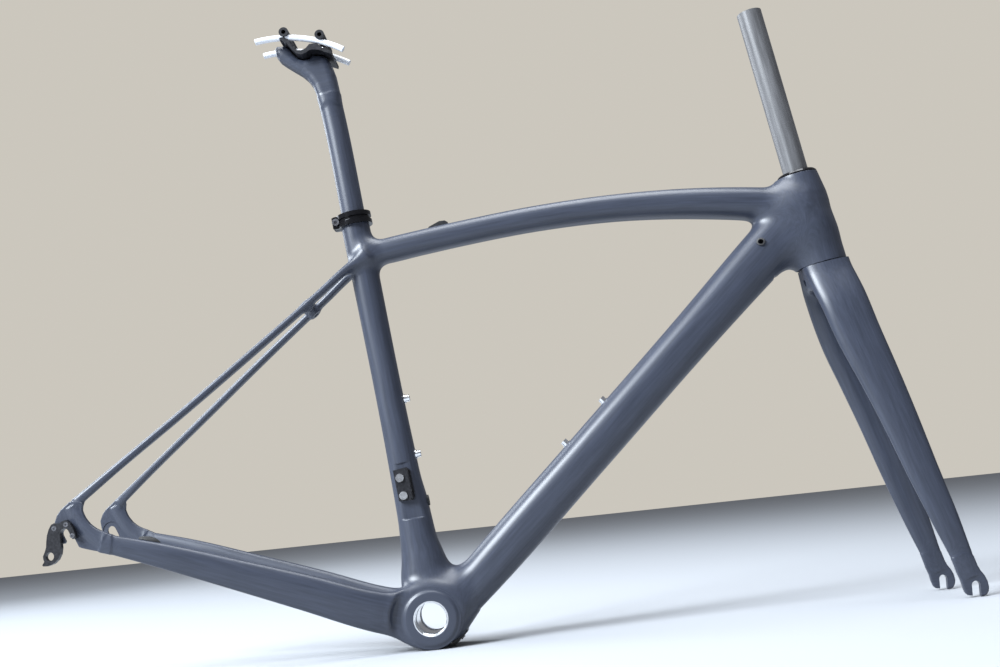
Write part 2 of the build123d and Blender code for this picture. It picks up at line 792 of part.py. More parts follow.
def rail(out, radius):
    start, middle, end = (seat_point(place, out) for place in rail_arc)
    with BuildPart() as body:
        with BuildLine() as path:
            ThreePointArc(start, middle, end)
        with BuildSketch(Plane(origin=path.line @ 0, z_dir=path.line % 0)):
            Circle(radius)
        sweep(path=path.line)
    return body.part


def clamp_bolt_bores(radius):
    return [rod(seat_point(barrel), seat_point(clamp_bolt_foot(barrel, 34.0)), radius)
            for barrel in (rear_barrel, front_barrel)]


def seatpost():
    post = bar(seat, seatpost_radius, seatpost_foot, post_straight_top)
    hollow = bar(seat, seatpost_radius - 2.2, seatpost_foot - 1, post_straight_top - 4)
    head = plate(head_outline_side, -head_half_width, head_half_width, seat)
    return trimmed(joined([post, head]), [hollow, *clamp_bolt_bores(clamp_bolt_radius)])


def saddle_cradle():
    block = plate(cradle_outline, -cradle_half_width, cradle_half_width, seat)
    grooves = [rail(out, rail_radius) for out in (-rail_offset, rail_offset)]
    return trimmed(block, [*grooves, *clamp_bolt_bores(clamp_bolt_radius + 0.3)])


def upper_clamp(barrel):
    """Hollow cross bar that presses both rails down, bored for its bolt."""
    body = rod(seat_point(barrel, -barrel_half_width), seat_point(barrel, barrel_half_width),
               barrel_radius)
    bore = rod(seat_point(barrel, -barrel_half_width - 1), seat_point(barrel, barrel_half_width + 1),
               barrel_bore_radius)
    above = clamp_bolt_foot(barrel, -9.0)
    bolt = rod(seat_point(above), seat_point(clamp_bolt_foot(barrel, 34.0)),
               clamp_bolt_radius + running_gap)
    grooves = [rail(out, rail_radius) for out in (-rail_offset, rail_offset)]
    return trimmed(body, [bore, bolt, *grooves])


def saddle_clamp_bolts():
    bolts = []
    for barrel in (rear_barrel, front_barrel):
        bolts.append(rod(seat_point(barrel), seat_point(clamp_bolt_foot(barrel, 30.0)),
                         clamp_bolt_radius))
    return joined(bolts)


crown_envelope = ring(steering, 0, 45.0, crown_bottom, 2.0)

pieces = {
    "head_tube": head_tube(),
    "top_tube": top_tube(),
    "down_tube": down_tube(),
    "seat_tube": seat_tube(),
    "bottom_bracket_shell": bottom_bracket_shell(),
    "bottom_bracket_sleeve": bottom_bracket_sleeve(),
    "chainstay_right": chainstay_right(),
    "seatstay_right": seatstay_right(),
    "dropout_right": dropout(hanger_screws_at),
    "derailleur_hanger": derailleur_hanger(),
    "hanger_screws": hanger_screws(),
    "brake_bridge": brake_bridge(),
    "front_derailleur_mount": front_derailleur_mount(),
    "mount_rivets": mount_rivets(),
    "seat_tube_cable_grommet": seat_tube_cable_grommet(),
    "bottle_rivnuts": bottle_rivnuts(),
    "bottle_bolts": bottle_bolts(),
    "down_tube_cable_port": down_tube_cable_port(),
    "top_tube_cable_stop": top_tube_cable_stop(),
    "chainstay_cable_plug": chainstay_cable_plug(),
    "bottom_cable_guide": bottom_cable_guide(),
    "cable_guide_screw": cable_guide_screw(),
    "headset_lower_bearing": headset_lower_bearing(),
    "headset_upper_bearing": headset_upper_bearing(),
    "crown_race": crown_race(),
    "compression_ring": compression_ring(),
    "headset_cover": headset_cover(),
    "steerer_tube": steerer_tube(),
    "fork_crown": fork_crown(),
    "fork_blade_right": fork_blade(),
    "fork_tip_right": fork_tip(),
    "seat_clamp_ring": seat_clamp_ring(),
    "seat_clamp_bolt": seat_clamp_bolt(),
    "seatpost": seatpost(),
    "saddle_cradle": saddle_cradle(),
    "upper_clamp_rear": upper_clamp(rear_barrel),
    "upper_clamp_front": upper_clamp(front_barrel),
    "saddle_clamp_bolts": saddle_clamp_bolts(),
    "rail_sleeve_right": rail(rail_offset, rail_radius),
}
pieces["chainstay_left"] = mirrored(pieces["chainstay_right"])
pieces["seatstay_left"] = mirrored(pieces["seatstay_right"])
pieces["dropout_left"] = mirrored(dropout([]))
pieces["fork_blade_left"] = mirrored(pieces["fork_blade_right"])
pieces["fork_tip_left"] = mirrored(pieces["fork_tip_right"])
pieces["rail_sleeve_left"] = mirrored(pieces["rail_sleeve_right"])

os.makedirs("parts", exist_ok=True)
for piece_name, piece in pieces.items():
    save(piece, piece_name)
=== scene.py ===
from math import cos, radians, sin

import bmesh
import bpy
import numpy as np
from mathutils import Matrix, Vector


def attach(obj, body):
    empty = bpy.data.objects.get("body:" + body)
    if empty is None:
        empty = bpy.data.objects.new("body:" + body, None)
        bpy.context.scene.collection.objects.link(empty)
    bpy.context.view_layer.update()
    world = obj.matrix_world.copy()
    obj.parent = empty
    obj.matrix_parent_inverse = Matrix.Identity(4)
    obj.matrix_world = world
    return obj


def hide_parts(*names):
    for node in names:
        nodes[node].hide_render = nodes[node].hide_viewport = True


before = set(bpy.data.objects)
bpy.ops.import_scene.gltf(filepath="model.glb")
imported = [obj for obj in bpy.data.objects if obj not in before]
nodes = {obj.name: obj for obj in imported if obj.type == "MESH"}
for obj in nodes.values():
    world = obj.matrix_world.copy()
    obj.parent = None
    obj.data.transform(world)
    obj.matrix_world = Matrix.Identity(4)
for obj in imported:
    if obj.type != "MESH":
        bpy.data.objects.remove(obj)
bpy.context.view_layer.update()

MM = 0.001

# Frame layout in millimetres, origin at the bottom bracket, +X to the fork, +Z up
rear_axle = (-378.0, 132.0)
front_axle = (575.5, -21.0)
crown_top = (479.5, 344.0)
steering_angle = radians(82.0)
seat_angle = radians(83.9)
sleeve_radius = 19.0
head_bottom = 0.8
head_top = 106.8
seat_top = 465.5
post_radius = 13.6
floor_height = -33.4


def vec(*values):
    return np.array(values, float)


class Axis:
    """A straight line in the middle plane with a forward and an upward direction."""

    def __init__(self, x, z, angle):
        self.origin = vec(x, 0, z)
        self.up = vec(-cos(angle), 0, sin(angle))
        self.ahead = vec(sin(angle), 0, cos(angle))

    def point(self, ahead, up, out=0.0):
        return self.origin + self.ahead * ahead + self.up * up + vec(0, out, 0)

    def coordinates(self, points):
        offset = points - self.origin
        return offset @ self.ahead, offset @ self.up, offset[:, 1]


steering = Axis(*crown_top, steering_angle)
seat = Axis(0, 0, seat_angle)


# ---------------------------------------------------------------- distance fields
def smooth_join(a, b, reach):
    step = np.maximum(reach - np.abs(a - b), 0) / reach
    return np.minimum(a, b) - step * step * reach / 4


def smooth_cut(a, b, reach):
    return -smooth_join(-a, b, reach)


class Tube:
    """A rounded tube swept along a smooth line through stations (x, y, z, across, height)."""

    def __init__(self, stations, power=2.3, reach=20.0, both_sides=False):
        rows = np.array(stations, float)
        self.power, self.reach, self.both_sides = power, reach, both_sides
        knots = np.concatenate([[0], np.cumsum(np.linalg.norm(np.diff(rows[:, :3], axis=0), axis=1))])
        samples = max(int(knots[-1] / 3), 12)
        dense = np.linspace(0, knots[-1], samples)
        smooth = np.stack([spline(knots, rows[:, i], dense) for i in range(5)], 1)
        self.line = smooth[:, :3]
        self.half = smooth[:, 3:] / 2
        self.s = np.concatenate(
            [[0], np.cumsum(np.linalg.norm(np.diff(self.line, axis=0), axis=1))])
        along = np.gradient(self.line, self.s, axis=0)
        self.along = along / np.linalg.norm(along, axis=1)[:, None]
        across = vec(0, 1, 0) - self.along * self.along[:, 1:2]
        self.across = across / np.linalg.norm(across, axis=1)[:, None]
        widest = self.half.max()
        self.low = self.line.min(0) - widest
        self.high = self.line.max(0) + widest
        if both_sides:
            self.high[1] = max(self.high[1], -self.low[1])
            self.low[1] = -self.high[1]

    def place(self, points):
        """Each point's length along the line and its offset from it."""
        chord = self.line[-1] - self.line[0]
        length = self.s[-1]
        s = np.clip((points - self.line[0]) @ chord / (chord @ chord) * length, 0, length)
        for _ in range(5):
            centre = self.sample(self.line, s)
            along = self.sample(self.along, s)
            s = np.clip(s + ((points - centre) * along).sum(1), 0, length)
        centre = self.sample(self.line, s)
        return s, points - centre

    def sample(self, values, s):
        return np.stack([np.interp(s, self.s, values[:, i]) for i in range(values.shape[1])], 1)

    def distance(self, points):
        if self.both_sides:
            points = points.copy()
            points[:, 1] = -np.abs(points[:, 1])
        s, offset = self.place(points)
        along = self.sample(self.along, s)
        across = self.sample(self.across, s)
        half = self.sample(self.half, s)
        beyond = np.abs((offset * along).sum(1))
        a = (offset * across).sum(1)
        b = (offset * np.cross(along, across)).sum(1)
        radial = np.hypot(a, b) + 1e-6
        rho = ((np.abs(a) / half[:, 0]) ** self.power
               + (np.abs(b) / half[:, 1]) ** self.power) ** (1 / self.power)
        d = radial - radial / rho
        to_end = np.minimum(s, self.s[-1] - s)
        past = (to_end <= 0) & (beyond > 1e-3)
        return np.where(past, np.hypot(np.maximum(d, 0), beyond), np.maximum(d, -to_end))

    def grain(self, points):
        """Coordinates that run slowly along the tube and fast across it."""
        if self.both_sides:
            points = points.copy()
            points[:, 1] = -np.abs(points[:, 1])
        s, offset = self.place(points)
        return offset + self.sample(self.along, s) * s[:, None] * 0.05


def spline(knots, values, at):
    """Cubic Hermite through values with slopes from their neighbours."""
    slopes = np.gradient(values, knots) if len(knots) > 2 else np.full(2, np.diff(values) / np.diff(knots))
    i = np.clip(np.searchsorted(knots, at, side="right") - 1, 0, len(knots) - 2)
    h = knots[i + 1] - knots[i]
    t = (at - knots[i]) / h
    return ((2 * t**3 - 3 * t**2 + 1) * values[i] + (t**3 - 2 * t**2 + t) * h * slopes[i]
            + (3 * t**2 - 2 * t**3) * values[i + 1] + (t**3 - t**2) * h * slopes[i + 1])


class Turned:
    """A solid turned about an axis, as heights and radii, closed by flat ends."""

    def __init__(self, axis, heights, radii, reach=20.0, edge=1.0):
        self.axis, self.reach, self.edge = axis, reach, edge
        self.heights, self.radii = np.array(heights, float), np.array(radii, float)
        ends = np.array([axis.point(0, heights[0]), axis.point(0, heights[-1])])
        self.low = ends.min(0) - self.radii.max()
        self.high = ends.max(0) + self.radii.max()

    def distance(self, points):
        ahead, up, out = self.axis.coordinates(points)
        side = np.hypot(ahead, out) - np.interp(up, self.heights, self.radii)
        end = np.maximum(self.heights[0] - up, up - self.heights[-1])
        return smooth_cut(side, -end, self.edge)

    def grain(self, points):
        ahead, up, out = self.axis.coordinates(points)
        return np.stack([ahead, out, up * 0.05], 1)


class Crosswise:
    """A round bar across the frame, along Y."""

    def __init__(self, x, z, radius, half, reach=20.0, edge=1.0, out=0.0):
        self.centre, self.radius, self.half, self.out = vec(x, 0, z), radius, half, out
        self.reach, self.edge = reach, edge
        span = vec(radius, half + out, radius)
        self.low, self.high = self.centre - span, self.centre + span

    def distance(self, points):
        offset = points - self.centre
        side = np.hypot(offset[:, 0], offset[:, 2]) - self.radius
        end = np.abs(np.abs(offset[:, 1]) - self.out) - self.half
        return smooth_cut(side, -end, self.edge)

    def grain(self, points):
        return points * vec(0.1, 1, 1)


class Rod:
    """A round bar between two points."""

    def __init__(self, start, end, radius, reach=6.0, edge=1.0):
        self.start, self.end, self.radius = vec(*start), vec(*end), radius
        self.reach, self.edge = reach, edge
        self.length = float(np.linalg.norm(self.end - self.start))
        self.along = (self.end - self.start) / self.length
        self.low = np.minimum(self.start, self.end) - radius
        self.high = np.maximum(self.start, self.end) + radius

    def distance(self, points):
        offset = points - self.start
        up = offset @ self.along
        side = np.linalg.norm(offset - up[:, None] * self.along, axis=1) - self.radius
        return smooth_cut(side, -np.maximum(-up, up - self.length), self.edge)

    def grain(self, points):
        return points - self.start


class Plate:
    """A flat plate with a rounded outline in the side view, on both sides or one."""

    def __init__(self, outline, middle, half, reach=6.0, edge=1.0, soften=1.0, axis=None, both_sides=True):
        self.outline = np.array(outline, float)
        self.middle, self.half, self.reach, self.edge = middle, half, reach, edge
        self.soften, self.axis, self.both_sides = soften, axis, both_sides
        if axis is None:
            corners = np.stack([self.outline[:, 0], np.zeros(len(self.outline)), self.outline[:, 1]], 1)
        else:
            corners = np.array([axis.point(a, u) for a, u in self.outline])
        self.low, self.high = corners.min(0) - 1, corners.max(0) + 1
        reach_out = abs(middle) + half
        self.low[1], self.high[1] = -reach_out, reach_out

    def distance(self, points):
        if self.axis is None:
            flat, out = points[:, [0, 2]], points[:, 1]
        else:
            ahead, up, out = self.axis.coordinates(points)
            flat = np.stack([ahead, up], 1)
        if self.both_sides:
            out = -np.abs(out)
        side = outline_distance(flat, self.outline) - self.soften
        end = np.abs(out - self.middle) - self.half
        return smooth_cut(side, -end, self.edge)

    def grain(self, points):
        return points * vec(0.1, 1, 1)


def outline_distance(points, corners):
    """Signed distance to a closed outline, negative inside."""
    best = np.full(len(points), 1e9)
    inside = np.zeros(len(points), bool)
    for start, end in zip(corners, np.roll(corners, -1, axis=0)):
        run = end - start
        offset = points - start
        t = np.clip(offset @ run / (run @ run), 0, 1)
        best = np.minimum(best, ((offset - t[:, None] * run) ** 2).sum(1))
        crosses = (start[1] > points[:, 1]) != (end[1] > points[:, 1])
        with np.errstate(divide="ignore", invalid="ignore"):
            x = start[0] + (points[:, 1] - start[1]) / (end[1] - start[1]) * run[0]
        inside ^= crosses & (points[:, 0] < x)
    return np.where(inside, -np.sqrt(best), np.sqrt(best))


class Body:
    """Several shapes run together smoothly, then cut by others."""

    def __init__(self, shapes, cuts=()):
        self.shapes, self.cuts = shapes, cuts
        self.low = np.min([shape.low for shape in shapes], axis=0)
        self.high = np.max([shape.high for shape in shapes], axis=0)

    def near(self, shape, points, margin):
        return np.flatnonzero(((points > shape.low - margin) & (points < shape.high + margin)).all(1))

    def distance(self, points):
        d = np.full(len(points), 60.0)
        for shape in self.shapes:
            i = self.near(shape, points, shape.reach + 12)
            if len(i):
                d[i] = smooth_join(d[i], shape.distance(points[i]), shape.reach)
        for shape in self.cuts:
            i = self.near(shape, points, shape.reach + 4)
            if len(i):
                d[i] = smooth_cut(d[i], shape.distance(points[i]), shape.reach)
        return d

    def gradient(self, points, step=0.05):
        parts = []
        for i in range(3):
            shift = np.zeros(3)
            shift[i] = step
            parts.append(self.distance(points + shift) - self.distance(points - shift))
        return np.stack(parts, 1) / (2 * step)

    def grain(self, points):
        total = np.zeros((len(points), 3))
        weight = np.full(len(points), 1e-9)
        for shape in self.shapes:
            i = self.near(shape, points, 12)
            if len(i):
                w = np.exp(-np.clip(shape.distance(points[i]), -8, 30) / 2.5)
                total[i] += shape.grain(points[i]) * w[:, None]
                weight[i] += w
        return total / weight[:, None]


def surface(body, cell):
    """Quads on the body's surface, one corner in each grid cell it crosses."""
    block = 8
    margin = 4 * cell
    low = body.low - margin
    counts = np.ceil((body.high + margin - low) / (cell * block)).astype(int)
    grid = np.stack(np.meshgrid(*[np.arange(n) for n in counts], indexing="ij"), -1).reshape(-1, 3)
    d = body.distance(low + (grid + 0.5) * cell * block)
    grid = grid[np.abs(d) < cell * block * 1.35]
    n = block + 1
    inner = np.stack(np.meshgrid(*[np.arange(n)] * 3, indexing="ij"), -1).reshape(-1, 3)
    corners = (grid[:, None, :] * block + inner[None]).reshape(-1, 3)
    values = body.distance(low + corners * cell).reshape(-1, n, n, n)
    inside = values < 0
    kinds = sum(inside[:, i:i + block, j:j + block, k:k + block].astype(int)
                for i in (0, 1) for j in (0, 1) for k in (0, 1))
    which, ci, cj, ck = np.nonzero((kinds > 0) & (kinds < 8))
    cells = grid[which] * block + np.stack([ci, cj, ck], 1)
    span = counts * block + 2
    key = lambda c: (c[:, 0] * span[1] + c[:, 1]) * span[2] + c[:, 2]
    keys, order = np.unique(key(cells), return_index=True)
    cells, which = cells[order], which[order]
    local = cells - grid[which] * block
    total, number = np.zeros((len(cells), 3)), np.zeros(len(cells))
    ends = [(a, b) for a in np.ndindex(2, 2, 2) for b in np.ndindex(2, 2, 2)
            if sum(b) - sum(a) == 1 and all(y >= x for x, y in zip(a, b))]
    for a, b in ends:
        va = values[which, local[:, 0] + a[0], local[:, 1] + a[1], local[:, 2] + a[2]]
        vb = values[which, local[:, 0] + b[0], local[:, 1] + b[1], local[:, 2] + b[2]]
        hit = (va < 0) != (vb < 0)
        t = np.where(hit, va / np.where(hit, va - vb, 1), 0)
        total[hit] += (np.array(a) + t[:, None] * (np.array(b) - np.array(a)))[hit]
        number += hit
    points = low + (cells + total / number[:, None]) * cell
    quads = []
    for axis in range(3):
        u, v = (axis + 1) % 3, (axis + 2) % 3
        step = np.zeros(3, int)
        step[axis] = 1
        va = values[which, local[:, 0], local[:, 1], local[:, 2]]
        vb = values[which, local[:, 0] + step[0], local[:, 1] + step[1], local[:, 2] + step[2]]
        hit = (va < 0) != (vb < 0)
        around = []
        for du, dv in ((0, 0), (-1, 0), (-1, -1), (0, -1)):
            shift = np.zeros(3, int)
            shift[u], shift[v] = du, dv
            wanted = key(cells[hit] + shift)
            found = np.clip(np.searchsorted(keys, wanted), 0, len(keys) - 1)
            around.append(np.where(keys[found] == wanted, found, -1))
        quad = np.stack(around, 1)
        flip = va[hit] >= 0
        quad[flip] = quad[flip][:, ::-1]
        quads.append(quad[(quad >= 0).all(1)])
    for _ in range(4):
        d = body.distance(points)
        g = body.gradient(points)
        move = g * (d / np.maximum((g * g).sum(1), 0.05))[:, None]
        size = np.linalg.norm(move, axis=1)[:, None]
        points = points - move * np.minimum(1, cell * 0.7 / np.maximum(size, 1e-9))
    return points, np.concatenate(quads)


# ---------------------------------------------------------------- meshes
def new_object(name, mesh, body):
    piece = bpy.data.objects.new(name, mesh)
    bpy.context.scene.collection.objects.link(piece)
    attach(piece, body)
    return piece


def mesh_from(name, points, faces):
    mesh = bpy.data.meshes.new(name)
    mesh.from_pydata((np.asarray(points) * MM).tolist(), [], [list(map(int, f)) for f in faces])
    mesh.update()
    return mesh


def smooth(mesh, sharp=48):
    mesh.polygons.foreach_set("use_smooth", [True] * len(mesh.polygons))
    mesh.set_sharp_from_angle(angle=radians(sharp))


def turned_mesh(name, axis_origin, axis_direction, outline, sides=96):
    """A closed solid of revolution from (radius, height) pairs."""
    direction = Vector(axis_direction).normalized()
    side = direction.orthogonal().normalized()
    other = direction.cross(side)
    origin = Vector(axis_origin)
    count = len(outline)
    points, faces = [], []
    for i in range(sides):
        angle = radians(360 * i / sides)
        ray = side * cos(angle) + other * sin(angle)
        points += [origin + direction * h + ray * r for r, h in outline]
    for i in range(sides):
        j = (i + 1) % sides
        for k in range(count):
            n = (k + 1) % count
            if outline[k][0] > 0 or outline[n][0] > 0:
                faces.append((i * count + k, j * count + k, j * count + n, i * count + n))
    mesh = bpy.data.meshes.new(name)
    mesh.from_pydata([tuple(p * MM) for p in points], [], faces)
    tidy = bmesh.new()
    tidy.from_mesh(mesh)
    bmesh.ops.remove_doubles(tidy, verts=tidy.verts, dist=1e-7)
    bmesh.ops.recalc_face_normals(tidy, faces=tidy.faces)
    tidy.to_mesh(mesh)
    tidy.free()
    return mesh


def bore_outline(radii_heights):
    """Outline of a solid cutter from heights and radii, closed on its axis."""
    rows = [(radius, height) for height, radius in radii_heights]
    return [(0, rows[0][1]), *rows, (0, rows[-1][1])]


def heal(mesh):
    """Reopens and refills the few places where two sheets of the surface touch."""
    work = bmesh.new()
    work.from_mesh(mesh)
    for _ in range(4):
        pinched = {v for e in work.edges if len(e.link_faces) > 2 for v in e.verts}
        if not pinched:
            break
        bmesh.ops.delete(work, geom=list(pinched), context="VERTS")
        bmesh.ops.holes_fill(work, edges=[e for e in work.edges if e.is_boundary], sides=0)
        bmesh.ops.recalc_face_normals(work, faces=work.faces)
    work.to_mesh(mesh)
    work.free()


def refine(mesh, body):
    """Halves the faces where the surface bends sharply and puts the new corners on it."""
    work = bmesh.new()
    work.from_mesh(mesh)
    first_new = len(work.verts)
    bent = {f for e in work.edges if len(e.link_faces) == 2 and e.calc_face_angle(0) > 0.22
            for f in e.link_faces}
    bmesh.ops.subdivide_edges(work, edges=list({e for f in bent for e in f.edges}), cuts=1,
                              use_grid_fill=True)
    work.verts.ensure_lookup_table()
    points = np.array([v.co for v in work.verts[first_new:]]) / MM
    for _ in range(3):
        slope = body.gradient(points)
        step = slope * (body.distance(points) / np.maximum((slope * slope).sum(1), 0.05))[:, None]
        points -= np.clip(step, -0.5, 0.5)
    for vertex, place in zip(work.verts[first_new:], points * MM):
        vertex.co = place
    work.to_mesh(mesh)
    work.free()


def carve(piece, cutters):
    """Cuts closed meshes out of a piece, exactly, and keeps the result."""
    helpers = []
    for i, mesh in enumerate(cutters):
        helper = bpy.data.objects.new(f"cutter_{i}", mesh)
        bpy.context.scene.collection.objects.link(helper)
        cut = piece.modifiers.new(f"cut_{i}", "BOOLEAN")
        cut.operation, cut.solver, cut.object = "DIFFERENCE", "EXACT", helper
        helpers.append(helper)
    bpy.context.view_layer.update()
    depsgraph = bpy.context.evaluated_depsgraph_get()
    carved = bpy.data.meshes.new_from_object(piece.evaluated_get(depsgraph))
    piece.modifiers.clear()
    piece.data = carved
    for helper in helpers:
        bpy.data.objects.remove(helper)


def shade(mesh, body):
    """Smooth shading that follows the body's true surface, with flat shading in the cuts."""
    points = np.zeros(len(mesh.vertices) * 3)
    mesh.vertices.foreach_get("co", points)
    slope = body.gradient(points.reshape(-1, 3) / MM)
    slope /= np.maximum(np.linalg.norm(slope, axis=1), 1e-9)[:, None]
    corner = np.zeros(len(mesh.loops), int)
    mesh.loops.foreach_get("vertex_index", corner)
    count = np.zeros(len(mesh.polygons), int)
    mesh.polygons.foreach_get("loop_total", count)
    flat = np.zeros(len(mesh.polygons) * 3)
    mesh.polygons.foreach_get("normal", flat)
    flat = np.repeat(flat.reshape(-1, 3), count, axis=0)
    smooth_way = slope[corner]
    follows = (smooth_way * flat).sum(1) > 0.6
    mesh.polygons.foreach_set("use_smooth", [True] * len(mesh.polygons))
    mesh.normals_split_custom_set(np.where(follows[:, None], smooth_way, flat).tolist())


def add_grain(mesh, body):
    """Stores the fibre direction's coordinates, in metres, for the carbon's streaks."""
    co = np.zeros(len(mesh.vertices) * 3)
    mesh.vertices.foreach_get("co", co)
    grain = body.grain(co.reshape(-1, 3) / MM) * MM
    layer = mesh.attributes.new("grain", "FLOAT_VECTOR", "POINT")
    layer.data.foreach_set("vector", grain.ravel())


# ---------------------------------------------------------------- materials
class Finish:
    """A node material built up from one Principled shader."""

    def __init__(self, name, colour, rough, metal=0.0, spec=0.5, coat=0.0, coat_rough=0.1):
        self.material = bpy.data.materials.new(name)
        self.material.use_nodes = True
        self.tree = self.material.node_tree
        self.shader = self.tree.nodes["Principled BSDF"]
        for socket, value in (("Base Color", (*colour, 1)), ("Roughness", rough), ("Metallic", metal),
                              ("Specular IOR Level", spec), ("Coat Weight", coat),
                              ("Coat Roughness", coat_rough)):
            self.shader.inputs[socket].default_value = value

    def node(self, kind, **values):
        made = self.tree.nodes.new(kind)
        for key, value in values.items():
            if key in made.inputs:
                made.inputs[key].default_value = value
            else:
                setattr(made, key, value)
        return made

    def link(self, source, target):
        self.tree.links.new(source, target)

    def coordinates(self, attribute=None, scale=(1, 1, 1), lean=0.0):
        if attribute:
            source = self.node("ShaderNodeAttribute", attribute_name=attribute).outputs["Vector"]
        else:
            source = self.node("ShaderNodeTexCoord").outputs["Object"]
        if lean:
            upright = self.node("ShaderNodeMapping", Rotation=(0, lean, 0))
            self.link(source, upright.inputs["Vector"])
            source = upright.outputs["Vector"]
        mapping = self.node("ShaderNodeMapping", Scale=scale)
        self.link(source, mapping.inputs["Vector"])
        return mapping.outputs["Vector"]

    def noise(self, where, scale, detail=3.0, rough=0.5):
        made = self.node("ShaderNodeTexNoise", Scale=scale, Detail=detail, Roughness=rough)
        self.link(where, made.inputs["Vector"])
        return made.outputs["Fac"]

    def spread(self, value, low, high, start=0.3, end=0.7):
        made = self.node("ShaderNodeMapRange")
        for key, number in (("From Min", start), ("From Max", end), ("To Min", low), ("To Max", high)):
            made.inputs[key].default_value = number
        self.link(value, made.inputs["Value"])
        return made.outputs["Result"]

    def colours(self, value, *stops):
        ramp = self.node("ShaderNodeValToRGB")
        elements = ramp.color_ramp.elements
        while len(elements) < len(stops):
            elements.new(0.5)
        for element, (position, colour) in zip(elements, stops):
            element.position, element.color = position, (*colour, 1)
        self.link(value, ramp.inputs["Fac"])
        self.link(ramp.outputs["Color"], self.shader.inputs["Base Color"])

    def roughness(self, value, low, high):
        self.link(self.spread(value, low, high), self.shader.inputs["Roughness"])

    def bump(self, value, strength, depth):
        made = self.node("ShaderNodeBump", Strength=strength, Distance=depth)
        self.link(value, made.inputs["Height"])
        before = self.shader.inputs["Normal"].links
        if before:
            self.link(before[0].from_socket, made.inputs["Normal"])
        self.link(made.outputs["Normal"], self.shader.inputs["Normal"])


def carbon_finish(name, dark, light, rough, streaks):
    """Satin unidirectional carbon: long fine streaks along each tube under a matte clear layer."""
    finish = Finish(name, light, sum(rough) / 2)
    along = finish.coordinates("grain")
    fibres = finish.noise(along, 420, 4, 0.6)
    finish.colours(fibres, (0.3, dark), (0.7, light))
    finish.roughness(finish.noise(finish.coordinates("grain"), 120, 3), *rough)
    finish.bump(finish.noise(finish.coordinates("grain"), 900, 2), streaks, 0.0001)
    finish.bump(finish.noise(finish.coordinates(), 1400, 2), 0.08, 0.00006)
    return finish.material


def grainy_finish(name, colour, rough, metal=0.0, grain=900.0, strength=0.25, contrast=0.25, spec=0.5,
                  stretch=(1, 1, 1), lean=0.0):
    """A part with a fine cast, blasted or moulded grain and a slightly uneven tone."""
    finish = Finish(name, colour, rough, metal, spec)
    tone = finish.noise(finish.coordinates(scale=stretch, lean=lean), grain * 0.4, 4)
    darker = tuple(c * (1 - contrast) for c in colour)
    lighter = tuple(min(c * (1 + contrast), 1) for c in colour)
    finish.colours(tone, (0.3, darker), (0.7, lighter))
    finish.roughness(tone, rough * 0.85, min(rough * 1.2, 1))
    finish.bump(finish.noise(finish.coordinates(scale=stretch, lean=lean), grain, 3), strength, 0.0001)
    return finish.material


carbon = carbon_finish("satin_carbon", (0.026, 0.031, 0.046), (0.040, 0.047, 0.070), (0.33, 0.41), 0.12)
raw_carbon = grainy_finish("sanded_carbon", (0.10, 0.10, 0.105), 0.36, 0.0, 700, 0.3, 0.3,
                           stretch=(1, 1, 0.06), lean=radians(90) - steering_angle)
black_alloy = grainy_finish("black_anodised", (0.012, 0.012, 0.015), 0.42, 0.3, 1200, 0.35, 0.3)
gloss_black = grainy_finish("polished_black", (0.010, 0.010, 0.012), 0.14, 0.5, 500, 0.05, 0.2)
bright_alloy = grainy_finish("machined_alloy", (0.82, 0.83, 0.85), 0.22, 1.0, 600, 0.15, 0.06)
steel = grainy_finish("dark_steel", (0.25, 0.25, 0.27), 0.3, 1.0, 800, 0.15, 0.15)
rubber = grainy_finish("black_rubber", (0.012, 0.012, 0.013), 0.65, 0.0, 900, 0.3, 0.2)
black_plastic = grainy_finish("black_plastic", (0.014, 0.014, 0.016), 0.4, 0.0, 900, 0.2, 0.2)
white_plastic = grainy_finish("white_plastic", (0.66, 0.68, 0.72), 0.35, 0.0, 300, 0.1, 0.03)
finishes = {
    "derailleur_hanger": black_alloy, "hanger_screws": steel,
    "front_derailleur_mount": black_alloy, "mount_rivets": bright_alloy,
    "seat_tube_cable_grommet": rubber, "bottle_rivnuts": bright_alloy, "bottle_bolts": bright_alloy,
    "down_tube_cable_port": black_plastic, "top_tube_cable_stop": black_plastic,
    "chainstay_cable_plug": rubber, "bottom_cable_guide": black_plastic, "cable_guide_screw": steel,
    "headset_lower_bearing": steel, "headset_upper_bearing": steel, "seat_clamp_ring": gloss_black,
    "seat_clamp_bolt": steel, "crown_race": steel, "compression_ring": steel,
    "headset_cover": gloss_black, "steerer_tube": raw_carbon, "saddle_cradle": black_alloy,
    "upper_clamp_rear": black_alloy, "upper_clamp_front": black_alloy, "saddle_clamp_bolts": steel,
    "rail_sleeve_right": white_plastic, "rail_sleeve_left": white_plastic,
}


# ---------------------------------------------------------------- carbon frame
down_tube_line = [
    (14.0, 0, -1.0, 47, 44), (81, 0, 59.7, 50, 49.4), (190, 0, 159.5, 50.5, 50.2), (338, 0, 295, 51, 52),
    (400, 0, 351.5, 51, 56), (462, 0, 406, 48, 60),
]
top_tube_line = [
    (-36, 0, 414, 31, 26), (-22, 0, 415.5, 31.5, 28), (26, 0, 421.7, 32, 28.6), (72, 0, 427, 33, 28.4),
    (165, 0, 435, 35, 28.8), (258, 0, 436.7, 38, 30.6), (350, 0, 431, 42, 34.6),
    (415, 0, 422.5, 44, 38), (462, 0, 412.5, 44, 44),
]
seat_tube_line = [
    (1, 0, 6, 46, 50), (-4.3, 0, 40, 49, 56), (-5.6, 0, 62, 45, 49.5), (-8.6, 0, 84.4, 40, 41.6),
    (-10.6, 0, 106.8, 37, 38.2), (-13, 0, 129, 35, 36.6), (-16, 0, 150, 33, 34),
    (-20, 0, 187, 32.4, 32.4), (-49.5, 0, 462.8, 32.4, 32.4),
]
